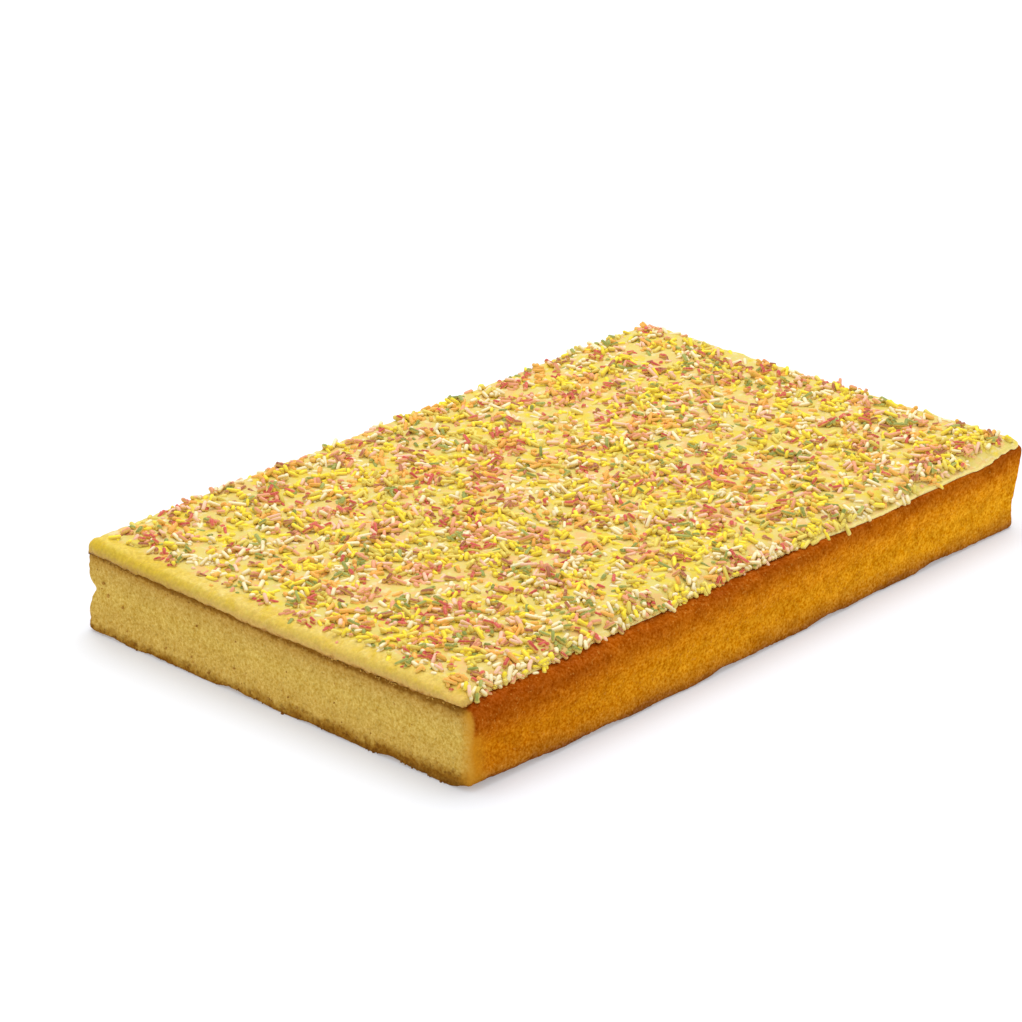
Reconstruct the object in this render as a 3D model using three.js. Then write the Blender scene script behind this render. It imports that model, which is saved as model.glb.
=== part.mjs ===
// Lemon sheet cake: the end piece of a tray-baked sponge under a layer of set lemon icing.
// Millimetres, +Z up, the cake's length along X. The cut end is at -X. The other three sides are the
// baked ones that stood against the tin: "near" at -Y, "end" at +X and "far" at +Y.
// The origin is the middle of the cake's box, on the surface that the cake stands on.
import * as THREE from "three";

// Driving sizes
const LENGTH = 302;
const WIDTH = 187;
const SPONGE_HEIGHT = 30.7;
const CAKE_HEIGHT = 36.2;
const GAP = 0.3; // between the sponge and the icing, two solids that touch

// The sponge's sides. Each is drawn in at its waist, and leans out above it up to its chest and below
// it down to its ankle, which lie at these shares of its height.
const SIDES = {
  near: { waistInset: 0.9, flareTop: 1.1, flareFoot: 0.8, ankle: 0.1, waist: 0.45, chest: 0.8 },
  end: { waistInset: 2.0, flareTop: 4.4, flareFoot: 0.8, ankle: 0.05, waist: 0.33, chest: 0.78 },
  far: { waistInset: 2.0, flareTop: 2.0, flareFoot: 2.8, ankle: 0.2, waist: 0.57, chest: 0.78 },
  cut: { waistInset: 0, flareTop: 0, flareFoot: 0.8, ankle: 0, waist: 0.5, chest: 1 },
};
const CORNER_RADIUS = 4; // of the tin, seen from above
const BOW = { foot: 2, top: 1.2, middle: -65, reach: 130 }; // how far the long sides bow out
const WIDENING = 2; // how far the far side runs out towards the baked end
const SAG = 1.5; // dip of the top at mid-width, at the cut end
const SAG_AT_BAKED_END = 0.4; // as a share of SAG

// Radii of the crust's shoulder and foot: near and far at the cut end, and baked from the x given by
// "to". The cut end's own edges are nearly sharp.
const SHOULDER = { near: 5.5, far: 2.2, baked: 2.6, from: -60, to: 75 };
const FOOT = { near: 5, far: 1.6, baked: 1.6, from: -150, to: -70 };
const CUT_EDGE = 0.5;

// Marks that creased baking paper left round the foot
const CREASE_DEPTH = 1.6;
const CREASE_REACH = 16; // how far in under the cake they run

// The icing's edge is a rolled bead over the cut end, and a thin lip on the baked sides' shoulders.
// A setback is how far the icing stops short of the sponge's side, and a retreat is what the cut half
// of a long side adds to it.
const BEAD = { height: 5, overhang: 1.6, droop: 0.6 };
const BEAD_END = { near: { height: 2.8, setback: 3.6 }, far: { height: 5.6, setback: 0.3 } };
const LIP = {
  near: { height: 1.8, setback: 1.1, retreat: 4 },
  end: { height: 4.3, setback: 1, retreat: 0 },
  far: { height: 5.3, setback: 0.2, retreat: 0.4 },
};
const LIP_OVERHANG = 0.4;
const WAVER = 1; // of the lip's line along a long side
const SLOPE_WIDTH = 8; // from the rolled edge up to the full thickness
const WAVES = 0.35; // of the icing's top

// Spacing of the stations round the outline
const STEP = { near: 7, end: 10, far: 7, cut: 5 };
const CORNER_STEPS = 4;

const HALF_LENGTH = LENGTH / 2;
const HALF_WIDTH = WIDTH / 2;
const { degToRad, lerp, smoothstep } = THREE.MathUtils;

// Stations run anticlockwise round the outline from the near corner of the cut end. A station has
// the run that it is on, and t from 0 to 1 along that run.
function runOf(run, steps) {
  return Array.from({ length: steps }, (_, i) => ({ run, t: i / steps }));
}
const STATIONS = [
  ...runOf("near", Math.round(LENGTH / STEP.near)),
  ...runOf("nearCorner", CORNER_STEPS),
  ...runOf("end", Math.round(WIDTH / STEP.end)),
  ...runOf("farCorner", CORNER_STEPS),
  ...runOf("far", Math.round(LENGTH / STEP.far)),
  ...runOf("cut", Math.round(WIDTH / STEP.cut)),
];

// Where a station is on the outline whose four sides lie in from the nominal ones by these insets.
function outlinePoint({ run, t }, inset) {
  const x0 = -HALF_LENGTH + inset.cut;
  const x1 = HALF_LENGTH - inset.end;
  const y0 = -HALF_WIDTH + inset.near;
  const y1 = HALF_WIDTH - inset.far;
  const r = CORNER_RADIUS;
  const onArc = (centreY, startAngle) => {
    const angle = startAngle + (t * Math.PI) / 2;
    return [x1 - r + r * Math.cos(angle), centreY + r * Math.sin(angle)];
  };
  switch (run) {
    case "near":
      return [lerp(x0, x1 - r, t), y0];
    case "nearCorner":
      return onArc(y0 + r, -Math.PI / 2);
    case "end":
      return [x1, lerp(y0 + r, y1 - r, t)];
    case "farCorner":
      return onArc(y1 - r, 0);
    case "far":
      return [lerp(x1 - r, x0, t), y1];
    default:
      return [x0, lerp(y1, y0, t)];
  }
}

// Insets of the sponge's four sides at a share of its height.
function sideInsets(heightShare) {
  const insetOf = ({ waistInset, flareTop, flareFoot, ankle, waist, chest }) =>
    waistInset -
    flareTop * smoothstep(heightShare, waist, chest) -
    flareFoot * (1 - smoothstep(heightShare, ankle, waist));
  return Object.fromEntries(Object.entries(SIDES).map(([side, shape]) => [side, insetOf(shape)]));
}
const TOP_INSETS = sideInsets(1);
const FOOT_INSETS = sideInsets(0);

// The same insets with the baked sides moved in by one distance and the cut end by another.
function movedIn({ cut, near, end, far }, baked, cutEnd = 0) {
  return { cut: cut + cutEnd, near: near + baked, end: end + baked, far: far + baked };
}

// Slow unevenness, between -1 and 1
const ripple = (s, phase) =>
  0.5 * Math.sin(s / 9.7 + phase) +
  0.3 * Math.sin(s / 4.9 + 2.3 * phase) +
  0.2 * Math.sin(s / 17.3 - phase);

// Distance of a station on the cut end from the nearer of its two corners
const fromCutCorner = ({ t }) => Math.min(t, 1 - t) * WIDTH;

// Radius of the crust's shoulder or foot on the baked sides, at the point (x, y) of the outline.
function crustRadius(edge, x, y) {
  return lerp(y < 0 ? edge.near : edge.far, edge.baked, smoothstep(x, edge.from, edge.to));
}

// The same radius at any station: along the cut end it shrinks quickly from either corner.
function edgeRadius(edge, station) {
  const radius = crustRadius(edge, ...outlinePoint(station, TOP_INSETS));
  if (station.run !== "cut") return radius;
  return lerp(radius, CUT_EDGE, smoothstep(fromCutCorner(station), 0, 2 * radius));
}

// How far the cake's top dips at (x, y)
function sag(x, y) {
  const along = smoothstep(x, SHOULDER.from, SHOULDER.to);
  return SAG * (1 - (y / HALF_WIDTH) ** 2) * lerp(1, SAG_AT_BAKED_END, along);
}

// How high the paper's creases lift the underside at (x, y): only near the edges.
function creaseLift(x, y) {
  const fromEdge = Math.min(HALF_LENGTH - Math.abs(x), HALF_WIDTH - Math.abs(y));
  const depth = CREASE_DEPTH * (1 - smoothstep(fromEdge, 0, CREASE_REACH));
  return depth * (0.5 + 0.5 * ripple(x - 1.6 * y, 0.8)) ** 2;
}

// A point of the cake, with the bow of its long sides and its widening.
function cakePoint([x, y], z) {
  const bowShare = Math.max(1 - ((x - BOW.middle) / BOW.reach) ** 2, 0);
  const bow = lerp(BOW.foot, BOW.top, z / CAKE_HEIGHT) * bowShare;
  const widening = y > 0 ? (WIDENING * (x + HALF_LENGTH)) / LENGTH : 0;
  return new THREE.Vector3(x, y * (1 + (bow + widening) / HALF_WIDTH), z);
}

// The sponge, from its underside's middle round its foot, sides and shoulder to its top's middle

function undersidePoint(station, scale) {
  const insets = movedIn(FOOT_INSETS, edgeRadius(FOOT, station));
  const [x, y] = outlinePoint(station, insets).map((value) => value * scale);
  return cakePoint([x, y], creaseLift(x, y));
}

// angle runs from 0 on the underside to 90 on the side
function footPoint(station, angle) {
  const radius = edgeRadius(FOOT, station);
  const inwards = radius * (1 - Math.sin(degToRad(angle)));
  const [x, y] = outlinePoint(station, movedIn(FOOT_INSETS, inwards));
  return cakePoint([x, y], creaseLift(x, y) + radius * (1 - Math.cos(degToRad(angle))));
}

function sidePoint(station, heightShare) {
  const [x, y] = outlinePoint(station, sideInsets(heightShare));
  const low = creaseLift(x, y) + edgeRadius(FOOT, station);
  const high = SPONGE_HEIGHT - sag(x, y) - edgeRadius(SHOULDER, station);
  return cakePoint([x, y], lerp(low, high, heightShare));
}

// angle runs from 0 on the side to 90 on the top
function shoulderPoint(station, angle) {
  const radius = edgeRadius(SHOULDER, station);
  const inwards = radius * (1 - Math.cos(degToRad(angle)));
  const [x, y] = outlinePoint(station, movedIn(TOP_INSETS, inwards));
  return cakePoint([x, y], SPONGE_HEIGHT - sag(x, y) - radius * (1 - Math.sin(degToRad(angle))));
}

// A loop on the flat of the sponge's top, drawn in towards its middle and raised.
function flatPoint(station, scale, rise) {
  const insets = movedIn(TOP_INSETS, edgeRadius(SHOULDER, station));
  const [x, y] = outlinePoint(station, insets).map((value) => value * scale);
  return cakePoint([x, y], SPONGE_HEIGHT + rise - sag(x, y));
}

const FLAT_SCALES = [0.965, 0.87, 0.5];

function spongeSolid() {
  return skin([
    ...[0.5, 0.86, 0.95].map((scale) => loop((s) => undersidePoint(s, scale))),
    ...[0, 40].map((angle) => loop((s) => footPoint(s, angle))),
    ...[0, 0.18, 0.38, 0.56, 0.78, 1].map((share) => loop((s) => sidePoint(s, share))),
    ...[35, 65, 90].map((angle) => loop((s) => shoulderPoint(s, angle))),
    ...FLAT_SCALES.map((scale) => loop((s) => flatPoint(s, scale, 0))),
  ]);
}

// The icing

// The lip's size at a station on the baked sides. Round a corner it goes from one side's to the next's.
function lipAt({ run, t }) {
  const joins = { nearCorner: [LIP.near, LIP.end], farCorner: [LIP.end, LIP.far] };
  const [from, to] = joins[run] ?? [LIP[run], LIP[run]];
  return {
    height: lerp(from.height, to.height, t),
    setback: lerp(from.setback, to.setback, t),
    retreat: lerp(from.retreat, to.retreat, t),
  };
}

// How far the icing's foot stands back from the sponge's side at a station.
function setback(station) {
  if (station.run === "cut") return lerp(BEAD_END.far.setback, BEAD_END.near.setback, station.t);
  const [x, y] = outlinePoint(station, TOP_INSETS);
  const lip = lipAt(station);
  const waver = (WAVER / 2) * (1 + ripple(x + y, 1.3)) * (1 - smoothstep(x, 115, 135));
  const along = lip.setback + lip.retreat * (1 - smoothstep(x, 5, 60)) + waver;
  const corner = y < 0 ? BEAD_END.near : BEAD_END.far;
  return lerp(corner.setback, along, smoothstep(x + HALF_LENGTH, 0, 16));
}

// Height of the icing's underside at a distance in from the side: the gap clear of the rounded crust.
function underIcingHeight(station, [x, y], distance) {
  const fromSide = station.run === "cut" ? distance + fromCutCorner(station) : distance;
  const radius = crustRadius(SHOULDER, x, y);
  const across = Math.max(radius - fromSide, 0);
  return SPONGE_HEIGHT - sag(x, y) - radius + Math.sqrt((radius + GAP) ** 2 - across ** 2);
}

// The foot hangs below the top of the cut end, but not at its two corners.
function droop(station) {
  if (station.run !== "cut") return 0;
  return (GAP + BEAD.droop) * smoothstep(fromCutCorner(station), 0, 15);
}

// The icing's underside near its edge: share runs from 0, on the crust's flat, to 1 at the foot.
function underIcingPoint(station, share) {
  const foot = setback(station);
  const flat = Math.max(foot, edgeRadius(SHOULDER, station)) + 2;
  const distance = lerp(flat, foot, share);
  const point = outlinePoint(station, movedIn(TOP_INSETS, distance, share > 0 ? -GAP : 2));
  const hang = share < 1 ? 0 : droop(station);
  return cakePoint(point, underIcingHeight(station, point, distance) - hang);
}

// Height of the rolled edge, from the bead over the cut end to the lip along the baked sides.
function edgeHeight(station) {
  const [x, y] = outlinePoint(station, TOP_INSETS);
  const onCut = station.run === "cut";
  const corner = y < 0 ? BEAD_END.near : BEAD_END.far;
  const fullHeight = onCut ? BEAD.height : lipAt(station).height;
  const fromCorner = onCut ? fromCutCorner(station) : x + HALF_LENGTH;
  return lerp(corner.height, fullHeight, smoothstep(fromCorner, 0, 20));
}

// The rolled edge: angle runs from -90 at its foot, past 0 at its nose, to 90 on top.
function rolledPoint(station, angle) {
  const out = Math.cos(degToRad(angle));
  const up = (1 + Math.sin(degToRad(angle))) / 2;
  const foot = underIcingPoint(station, 1);
  const lipIn = setback(station) - LIP_OVERHANG * out + up;
  const beadIn = -GAP - (BEAD.overhang - GAP) * out + up;
  const point = outlinePoint(station, movedIn(TOP_INSETS, lipIn, beadIn));
  return cakePoint(point, foot.z + edgeHeight(station) * up);
}

// Height of the icing's top, which set in slow waves
function icingHeight(x, y) {
  const waves = Math.sin(x / 17 + y / 29) + Math.sin(y / 13 - x / 41);
  return CAKE_HEIGHT - sag(x, y) + WAVES * (waves / 2 - 1);
}

// The slope from the rolled edge up to the full thickness, at a distance in from the edge.
function slopePoint(station, distance) {
  const edge = rolledPoint(station, 90);
  const insets = movedIn(TOP_INSETS, setback(station) + 1 + distance, 1 - GAP + distance);
  const point = outlinePoint(station, insets);
  const rise = Math.sin((Math.min(distance / SLOPE_WIDTH, 1) * Math.PI) / 2);
  return cakePoint(point, lerp(edge.z, icingHeight(...point), rise));
}

// A loop on the icing's top, drawn in towards its middle.
function icingTopPoint(station, scale) {
  const insets = movedIn(TOP_INSETS, setback(station) + SLOPE_WIDTH, SLOPE_WIDTH);
  const [x, y] = outlinePoint(station, insets).map((value) => value * scale);
  return cakePoint([x, y], icingHeight(x, y));
}

function icingSolid() {
  return skin([
    ...FLAT_SCALES.toReversed().map((scale) => loop((s) => flatPoint(s, scale, GAP))),
    ...[0, 0.5, 0.8, 1].map((share) => loop((s) => underIcingPoint(s, share))),
    ...[-40, 10, 55, 90].map((angle) => loop((s) => rolledPoint(s, angle))),
    ...[3, SLOPE_WIDTH].map((distance) => loop((s) => slopePoint(s, distance))),
    ...[0.88, 0.55].map((scale) => loop((s) => icingTopPoint(s, scale))),
  ]);
}

function loop(pointAt) {
  return STATIONS.map(pointAt);
}

function centreOf(points) {
  const sum = points.reduce((total, point) => total.add(point), new THREE.Vector3());
  return sum.divideScalar(points.length);
}

// The closed skin over a stack of loops that runs from below, out, up and back in over the top. The
// first and last loops each close on the point at their centre.
function skin(loops) {
  const points = [centreOf(loops[0]), ...loops.flat(), centreOf(loops.at(-1))];
  const count = STATIONS.length;
  const at = (row, i) => 1 + row * count + (i % count);
  const lastRow = loops.length - 1;
  const index = [];
  for (let i = 0; i < count; i++) {
    index.push(0, at(0, i + 1), at(0, i));
    for (let row = 0; row < lastRow; row++) {
      index.push(at(row, i), at(row, i + 1), at(row + 1, i + 1));
      index.push(at(row, i), at(row + 1, i + 1), at(row + 1, i));
    }
    index.push(points.length - 1, at(lastRow, i), at(lastRow, i + 1));
  }
  const geometry = new THREE.BufferGeometry().setFromPoints(points);
  geometry.setIndex(index);
  geometry.computeVertexNormals();
  return geometry;
}

function addPiece(group, name, geometry, color, roughness) {
  const material = new THREE.MeshStandardMaterial({ color, roughness, metalness: 0 });
  const mesh = new THREE.Mesh(geometry, material);
  mesh.name = name;
  group.add(mesh);
}

const cake = new THREE.Group();
addPiece(cake, "sponge", spongeSolid(), 0xc98f38, 0.9);
addPiece(cake, "icing", icingSolid(), 0xf2d46c, 0.45);

// The origin goes to the middle of the cake's box, at its underside.
const box = new THREE.Box3().setFromObject(cake);
const middle = box.getCenter(new THREE.Vector3());
cake.position.set(-middle.x, -middle.y, -box.min.z);

export default cake;
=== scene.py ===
"""Looks of the lemon sheet cake: crumb, crust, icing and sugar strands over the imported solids.

Shapes are worked out in millimetres and made in metres. The cut end is at -X, the
long side "near" at -Y, the baked "end" at +X and the long side "far" at +Y.
"""
import math

import bmesh
import bpy
import numpy as np
from mathutils import Matrix, Vector
from mathutils.bvhtree import BVHTree


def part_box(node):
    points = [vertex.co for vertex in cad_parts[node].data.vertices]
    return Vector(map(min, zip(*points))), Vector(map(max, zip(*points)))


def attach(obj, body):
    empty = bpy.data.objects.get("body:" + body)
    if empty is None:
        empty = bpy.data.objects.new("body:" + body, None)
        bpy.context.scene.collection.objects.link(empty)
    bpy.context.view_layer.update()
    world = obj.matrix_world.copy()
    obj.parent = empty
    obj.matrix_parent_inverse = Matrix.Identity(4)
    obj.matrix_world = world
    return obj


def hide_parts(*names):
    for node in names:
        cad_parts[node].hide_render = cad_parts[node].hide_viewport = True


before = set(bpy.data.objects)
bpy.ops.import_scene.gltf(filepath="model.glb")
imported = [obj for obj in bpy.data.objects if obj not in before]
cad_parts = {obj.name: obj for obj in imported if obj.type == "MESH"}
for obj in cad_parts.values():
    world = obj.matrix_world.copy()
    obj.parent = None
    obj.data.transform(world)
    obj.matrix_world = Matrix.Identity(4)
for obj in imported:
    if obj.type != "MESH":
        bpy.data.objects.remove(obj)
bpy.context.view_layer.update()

# ---------------------------------------- sizes of the solids, as in the part

LENGTH = 302
WIDTH = 187
SPONGE_HEIGHT = 30.7
CAKE_HEIGHT = 36.2
# Each side is drawn in at its waist, and leans out above it up to its chest and below it to its ankle
SIDES = {
    "cut": dict(waist_inset=0, flare_top=0, flare_foot=0.8, ankle=0, waist=0.5, chest=1),
    "near": dict(waist_inset=0.9, flare_top=1.1, flare_foot=0.8, ankle=0.1, waist=0.45, chest=0.8),
    "end": dict(waist_inset=2.0, flare_top=4.4, flare_foot=0.8, ankle=0.05, waist=0.33, chest=0.78),
    "far": dict(waist_inset=2.0, flare_top=2.0, flare_foot=2.8, ankle=0.2, waist=0.57, chest=0.78),
}
CORNER_RADIUS = 4
BOW = dict(foot=2, top=1.2, middle=-65, reach=130)  # how far the long sides bow out
WIDENING = 2  # how far the far side runs out towards the baked end
SAG = 1.5  # dip of the top at mid-width, at the cut end
SAG_AT_BAKED_END = 0.4  # as a share of SAG
# Radii of the crust's edges, at the cut end and, from start to stop along X, at the baked end
SHOULDER = dict(near=5.5, far=2.2, baked=2.6, start=-60, stop=75)
FOOT = dict(near=5, far=1.6, baked=1.6, start=-150, stop=-70)
CUT_EDGE = 0.5
CREASE_DEPTH = 1.6  # of the marks that baking paper left round the foot
CREASE_REACH = 16
# A setback is how far the icing stops short of the sponge's side, and a retreat is what the cut
# half of a long side adds to it
BEAD = dict(height=5, overhang=1.6, droop=0.6)
BEAD_END = dict(near=dict(height=2.8, setback=3.6), far=dict(height=5.6, setback=0.3))
LIP = dict(
    near=dict(height=1.8, setback=1.1, retreat=4),
    end=dict(height=4.3, setback=1, retreat=0),
    far=dict(height=5.3, setback=0.2, retreat=0.4),
)
LIP_OVERHANG = 0.4
WAVER = 1  # of the lip's line along a long side
SLOPE_WIDTH = 8  # from the rolled edge up to the full thickness
WAVES = 0.35  # of the icing's top
HALF_LENGTH = LENGTH / 2
HALF_WIDTH = WIDTH / 2

# ---------------------------------------- sizes that only the finer meshes have

BEAD_ROUND = 1.6  # how much more gently the bead turns over its top than the solid's
EDGE_ROUND = dict(near=3.0, far=1.5)  # radii at the two upright edges of the cut face
BEAD_END_ROUND = dict(near=2.0, far=3.6)  # the same for the bead's two ends
CORNER_RISE = 2.2  # of the crust, at the near corner of the baked end

MM = 0.001  # in metres
CUT = 5  # number of the cut face among the six runs of the outline


def lerp(a, b, t):
    return a + (b - a) * t


def smoothstep(x, low, high):
    t = np.clip((x - low) / (high - low), 0, 1)
    return t * t * (3 - 2 * t)


def noise(points, size, seed):
    """Smooth unevenness from -1 to 1 over points (n, 3), with features of about that size."""
    p = points / size + seed * 17.31
    cell = np.floor(p).astype(np.int64)
    f = p - cell
    f = f * f * (3 - 2 * f)
    total = np.zeros(len(p))
    for corner in np.ndindex(2, 2, 2):
        c = cell + corner
        h = (c[:, 0] * 73856093) ^ (c[:, 1] * 19349663) ^ (c[:, 2] * 83492791) ^ (seed * 2654435761)
        h = ((h ^ (h >> 13)) * 1274126177) & 0xFFFFFFFF
        h = ((h ^ (h >> 16)) * 2246822519) & 0xFFFFFFFF
        weight = np.prod(np.where(corner, f, 1 - f), axis=1)
        total += weight * (h / 0x7FFFFFFF - 1)
    return total


# ---------------------------------------- the cake's outline and heights


class Stations:
    """Places round the outline, anticlockwise from the near corner of the cut end."""

    def __init__(self, near, corner, end, far, cut):
        counts = (near, corner, end, corner, far, cut)
        self.run = np.concatenate([np.full(n, k) for k, n in enumerate(counts)])
        self.t = np.concatenate([np.arange(n) / n for n in counts])
        self.on_cut = self.run == CUT
        self.from_cut_corner = np.where(self.on_cut, np.minimum(self.t, 1 - self.t) * WIDTH, 0)

    def pick(self, near, near_corner, end, far_corner, far, cut):
        values = [np.broadcast_to(v, self.t.shape) for v in (near, near_corner, end, far_corner, far, cut)]
        return np.choose(self.run, values)


def outline(st, inset):
    """Points (x, y) of the outline whose sides lie in from the nominal ones by inset."""
    x0 = -HALF_LENGTH + inset["cut"]
    x1 = HALF_LENGTH - inset["end"]
    y0 = -HALF_WIDTH + inset["near"]
    y1 = HALF_WIDTH - inset["far"]
    r = CORNER_RADIUS
    sin = np.sin(st.t * np.pi / 2)
    cos = np.cos(st.t * np.pi / 2)
    x = st.pick(lerp(x0, x1 - r, st.t), x1 - r + r * sin, x1, x1 - r + r * cos, lerp(x1 - r, x0, st.t), x0)
    y = st.pick(y0, y0 + r - r * cos, lerp(y0 + r, y1 - r, st.t), y1 - r + r * sin, y1, lerp(y1, y0, st.t))
    return x, y


def side_insets(share):
    insets = {}
    for side, s in SIDES.items():
        lean = s["flare_top"] * smoothstep(share, s["waist"], s["chest"])
        spread = s["flare_foot"] * (1 - smoothstep(share, s["ankle"], s["waist"]))
        insets[side] = s["waist_inset"] - lean - spread
    return insets


TOP_INSETS = side_insets(1)
FOOT_INSETS = side_insets(0)


def moved_in(insets, baked, cut_end):
    return {side: value + (cut_end if side == "cut" else baked) for side, value in insets.items()}


def ripple(s, phase):
    return (
        0.5 * np.sin(s / 9.7 + phase)
        + 0.3 * np.sin(s / 4.9 + 2.3 * phase)
        + 0.2 * np.sin(s / 17.3 - phase)
    )


def crust_radius(edge, x, y):
    at_cut_end = np.where(y < 0, edge["near"], edge["far"])
    return lerp(at_cut_end, edge["baked"], smoothstep(x, edge["start"], edge["stop"]))


def edge_radius(edge, st):
    radius = crust_radius(edge, *outline(st, TOP_INSETS))
    shrunk = lerp(radius, CUT_EDGE, smoothstep(st.from_cut_corner / (2 * radius), 0, 1))
    return np.where(st.on_cut, shrunk, radius)


def sag(x, y):
    along = smoothstep(x, SHOULDER["start"], SHOULDER["stop"])
    return SAG * (1 - (y / HALF_WIDTH) ** 2) * lerp(1, SAG_AT_BAKED_END, along)


def crease_lift(x, y):
    from_edge = np.minimum(HALF_LENGTH - np.abs(x), HALF_WIDTH - np.abs(y))
    depth = CREASE_DEPTH * (1 - smoothstep(from_edge, 0, CREASE_REACH))
    return depth * (0.5 + 0.5 * ripple(x - 1.6 * y, 0.8)) ** 2


def corner_rise(x, y):
    """How far the crust stands up under the thin icing at the near corner of the baked end."""
    near = 1 - smoothstep(y, -HALF_WIDTH + 5, -HALF_WIDTH + 16)
    return CORNER_RISE * smoothstep(x, HALF_LENGTH - 24, HALF_LENGTH - 7) * near


def cake_points(x, y, z):
    bow_share = np.maximum(1 - ((x - BOW["middle"]) / BOW["reach"]) ** 2, 0)
    bow = lerp(BOW["foot"], BOW["top"], z / CAKE_HEIGHT) * bow_share
    widening = np.where(y > 0, WIDENING * (x + HALF_LENGTH) / LENGTH, 0)
    return np.stack([x, y * (1 + (bow + widening) / HALF_WIDTH), z], axis=-1)


# ---------------------------------------- rings of the sponge


def underside_ring(st, scale):
    x, y = outline(st, moved_in(FOOT_INSETS, edge_radius(FOOT, st), edge_radius(FOOT, st)))
    x, y = x * scale, y * scale
    return cake_points(x, y, crease_lift(x, y))


def foot_ring(st, degrees):
    angle = math.radians(degrees)
    radius = edge_radius(FOOT, st)
    inwards = radius * (1 - math.sin(angle))
    x, y = outline(st, moved_in(FOOT_INSETS, inwards, inwards))
    return cake_points(x, y, crease_lift(x, y) + radius * (1 - math.cos(angle)))


def side_ring(st, share):
    x, y = outline(st, side_insets(share))
    low = crease_lift(x, y) + edge_radius(FOOT, st)
    high = SPONGE_HEIGHT - sag(x, y) - edge_radius(SHOULDER, st)
    return cake_points(x, y, lerp(low, high, share))


def shoulder_ring(st, degrees):
    angle = math.radians(degrees)
    radius = edge_radius(SHOULDER, st)
    inwards = radius * (1 - math.cos(angle))
    x, y = outline(st, moved_in(TOP_INSETS, inwards, inwards))
    return cake_points(x, y, SPONGE_HEIGHT - sag(x, y) - radius * (1 - math.sin(angle)))


def flat_ring(st, scale):
    radius = edge_radius(SHOULDER, st)
    x, y = outline(st, moved_in(TOP_INSETS, radius, radius))
    x, y = x * scale, y * scale
    return cake_points(x, y, SPONGE_HEIGHT - sag(x, y))


# ---------------------------------------- rings of the icing


def lip_at(st, key):
    near, end, far = LIP["near"][key], LIP["end"][key], LIP["far"][key]
    return st.pick(near, lerp(near, end, st.t), end, lerp(end, far, st.t), far, 0)


def corner_at(y, key):
    return np.where(y < 0, BEAD_END["near"][key], BEAD_END["far"][key])


def setback(st):
    x, y = outline(st, TOP_INSETS)
    waver = (WAVER / 2) * (1 + ripple(x + y, 1.3)) * (1 - smoothstep(x, 115, 135))
    along = lip_at(st, "setback") + lip_at(st, "retreat") * (1 - smoothstep(x, 5, 60)) + waver
    baked = lerp(corner_at(y, "setback"), along, smoothstep(x + HALF_LENGTH, 0, 16))
    on_cut = lerp(BEAD_END["far"]["setback"], BEAD_END["near"]["setback"], st.t)
    return np.where(st.on_cut, on_cut, baked)


def under_icing_ring(st, share):
    foot = setback(st)
    flat = np.maximum(foot, edge_radius(SHOULDER, st)) + 2
    distance = lerp(flat, foot, share)
    x, y = outline(st, moved_in(TOP_INSETS, distance, -0.3 if share > 0 else 2))
    radius = crust_radius(SHOULDER, x, y)
    across = np.maximum(radius - distance - st.from_cut_corner, 0)
    z = SPONGE_HEIGHT - sag(x, y) - radius + np.sqrt((radius + 0.02) ** 2 - across**2)
    z = z + corner_rise(x, y)
    if share == 1:
        # The bead's underside droops and waves
        places = np.stack([x, y, 0 * x], axis=1)
        wavy = 0.7 * noise(places, 1.9, 5) + 0.4 * noise(places, 6, 6)
        droop = BEAD["droop"] - 0.7 * smoothstep(y, 5, 22) + wavy
        z = z - np.where(st.on_cut, droop * smoothstep(st.from_cut_corner, 0, 15), 0)
    return cake_points(x, y, z)


def edge_height(st):
    x, y = outline(st, TOP_INSETS)
    full = np.where(st.on_cut, BEAD["height"], lip_at(st, "height"))
    from_corner = np.where(st.on_cut, st.from_cut_corner, x + HALF_LENGTH)
    height = lerp(corner_at(y, "height"), full, smoothstep(from_corner, 0, 20))
    # The icing thins out over the raised corner
    return np.maximum(height - 0.8 * corner_rise(x, y), 1.3)


def rolled_ring(st, degrees):
    out = math.cos(math.radians(degrees))
    up = (1 + math.sin(math.radians(degrees))) / 2
    foot_z = under_icing_ring(st, 1)[:, 2]
    round_in = (1 - out) * (degrees > 0)
    lip_in = setback(st) - LIP_OVERHANG * out + up + 0.6 * round_in
    bead_in = -0.3 - (BEAD["overhang"] - 0.3) * out + up + BEAD_ROUND * round_in
    x, y = outline(st, moved_in(TOP_INSETS, lip_in, bead_in))
    return cake_points(x, y, foot_z + edge_height(st) * up)


def icing_height(x, y):
    waves = np.sin(x / 17 + y / 29) + np.sin(y / 13 - x / 41)
    return CAKE_HEIGHT - sag(x, y) + WAVES * (waves / 2 - 1)


def slope_ring(st, distance):
    edge_z = rolled_ring(st, 90)[:, 2]
    lip_in = setback(st) + 1.6 + distance * (SLOPE_WIDTH - 0.6) / SLOPE_WIDTH
    bead_in = 0.7 + BEAD_ROUND + distance * (SLOPE_WIDTH - BEAD_ROUND) / SLOPE_WIDTH
    x, y = outline(st, moved_in(TOP_INSETS, lip_in, bead_in))
    rise = math.sin(min(distance / SLOPE_WIDTH, 1) * math.pi / 2)
    return cake_points(x, y, lerp(edge_z, icing_height(x, y), rise))


def icing_top_ring(st, scale):
    x, y = outline(st, moved_in(TOP_INSETS, setback(st) + SLOPE_WIDTH, SLOPE_WIDTH))
    x, y = x * scale, y * scale
    return cake_points(x, y, icing_height(x, y))


# ---------------------------------------- meshes


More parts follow.
